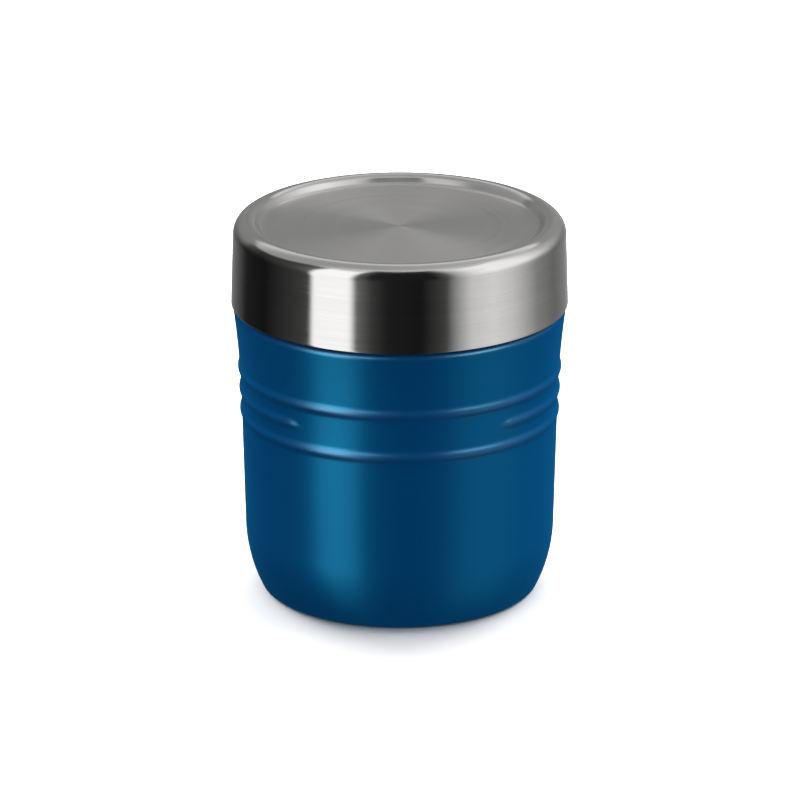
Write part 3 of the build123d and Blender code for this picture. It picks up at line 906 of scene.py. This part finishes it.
world = bpy.data.worlds.new("studio")
bpy.context.scene.world = world
nodes = Nodes(world)
direction = nodes.add("ShaderNodeTexCoord")["Generated"]
xyz = nodes.add("ShaderNodeSeparateXYZ", inputs={"Vector": direction})
turn = nodes.add("ShaderNodeMath", {"operation": "ARCTAN2"}, {0: xyz["X"], 1: 0 - xyz["Y"]})["Value"]
rise = nodes.add("ShaderNodeMath", {"operation": "ARCSINE"}, {0: xyz["Z"]})["Value"] * (180 / pi)


def bands(*stops):
    """Brightness around the jar, from (degrees from the front, brightness) pairs."""
    ramp = [((angle + 180) / 360, (value, value, value, 1)) for angle, value in stops]
    return nodes.add("ShaderNodeValToRGB", {"stops": ramp}, {"Fac": turn / (2 * pi) + 0.5})["Color"]


def between(low, high, signal):
    """Rises from 0 to 1 while a signal goes from low to high."""
    return nodes.add(
        "ShaderNodeMapRange",
        {"interpolation_type": "SMOOTHSTEP"},
        {"Value": signal, "From Min": low, "From Max": high},
    )["Result"]


# A tall strip light on the left, a softbox on the right, dark cards between them and a pale backdrop
# behind. Over them hangs a pale ceiling, which each card or lamp hides up to its own top.
low_bands = bands(
    *((-180, 0.36), (-160, 0.20), (-145, 0.11), (-130, 0.02), (-105, 0.01), (-66, 0.07)),
    *((-64, 0.10), (-61, 1.62), (-34.5, 1.62), (-29.5, 0.2), (-19, 0.06), (-9, 0.02), (15, 0.012)),
    *((32, 0.08), (38, 0.37), (50, 0.92), (67, 1.08), (82, 0.90), (108, 0.34), (130, 0.2), (143, 0.24)),
    *((156, 0.28), (168, 0.42), (180, 0.36)),
)
rim_bands = bands(
    *((-180, 0.33), (-136, 0.34), (-126, 0.10), (-110, 0.04), (-80, 0.08), (-66, 0.16)),
    *((-64, 0.3), (-61, 1.7), (-34.5, 1.7), (-29.5, 0.15), (-20, 0.02), (25, 0.015), (34, 0.12)),
    *((41, 0.6), (53, 1.2), (67, 1.48), (97, 1.42), (127, 0.68), (146, 0.44), (165, 0.40), (180, 0.33)),
)
card_tops = 90 * bands(
    *((-180, 0.38), (-140, 0.34), (-127, 0.28), (-110, 0.33), (-96, 0.42), (-82, 0.55), (-36, 0.58)),
    *((-31, 0.77), (44, 0.77), (52, 0.64), (112, 0.64), (140, 0.38), (180, 0.38)),
)
ceiling = 0.49 + 0.32 * between(-0.2, 0.8, xyz["X"]) + 0.42 * between(0.05, -0.35, xyz["Y"])
ceiling = ceiling + 0.5 * between(0.4, 0.85, xyz["Y"])
table = 0.12 + 0.88 * between(-58, -38, rise)
radiance = low_bands * table + (rim_bands - low_bands) * between(-8, 18, rise)
radiance = radiance + (ceiling - radiance) * between(card_tops - 3, card_tops + 3, rise)
background = nodes.add("ShaderNodeBackground", inputs={"Color": (1, 1, 1, 1), "Strength": radiance})
nodes.add("ShaderNodeOutputWorld", inputs={"Surface": background["Background"]})


def lamp(name, place, size, power):
    """A soft lamp that faces the middle of the jar."""
    light = bpy.data.lights.new(name, "AREA")
    light.shape = "RECTANGLE"
    light.size, light.size_y = size
    light.energy = power
    made = bpy.data.objects.new(name, light)
    bpy.context.collection.objects.link(made)
    made.location = place
    towards = Vector((0, 0, 0.06)) - Vector(place)
    made.rotation_euler = towards.to_track_quat("-Z", "Y").to_euler()
    return made


overhead = lamp("overhead", (0, 0.5, 1.3), (3.0, 1.7), 60)
overhead.visible_glossy = False

# Two low lamps behind the jar that only the floor sees, so that its shadow falls to the front.
below = bpy.data.collections.new("below")
below.objects.link(floor)
for name, place in (("floor_left", (-0.75, 0.9, 0.34)), ("floor_right", (0.75, 0.9, 0.34))):
    lamp(name, place, (0.6, 0.4), 20).light_linking.receiver_collection = below

# Strips and boards that only the coated wall sees, flagged off the polished lid.
coated = bpy.data.collections.new("coated")
coated.objects.link(outer_wall)
for name, place, size, power in (
    ("strip_low", (-0.88, -0.82, -0.34), (0.75, 0.7), 2.6),
    ("strip_left", (-0.88, -0.82, 0.10), (0.5, 0.6), 7.0),
    ("board_left", (-0.81, -0.89, 0.58), (1.05, 0.45), 10.5),
    ("board_right", (1.02, -0.64, 0.58), (0.75, 0.45), 10.0),
):
    board = lamp(name, place, size, power)
    board.visible_diffuse = False
    board.light_linking.receiver_collection = coated

ELEVATION = radians(19.3)
DISTANCE = 1.8
AIM = Vector((0.00012, 0, 0.06055))
camera_data = bpy.data.cameras.new("camera")
camera_data.sensor_width = 36
camera_data.lens = 256.0
camera_data.clip_end = 40
camera = bpy.data.objects.new("camera", camera_data)
bpy.context.collection.objects.link(camera)
camera.location = AIM + DISTANCE * Vector((0, -cos(ELEVATION), sin(ELEVATION)))
camera.rotation_euler = (pi / 2 - ELEVATION, 0, 0)
bpy.context.scene.camera = camera
bpy.context.scene.view_settings.view_transform = "Standard"
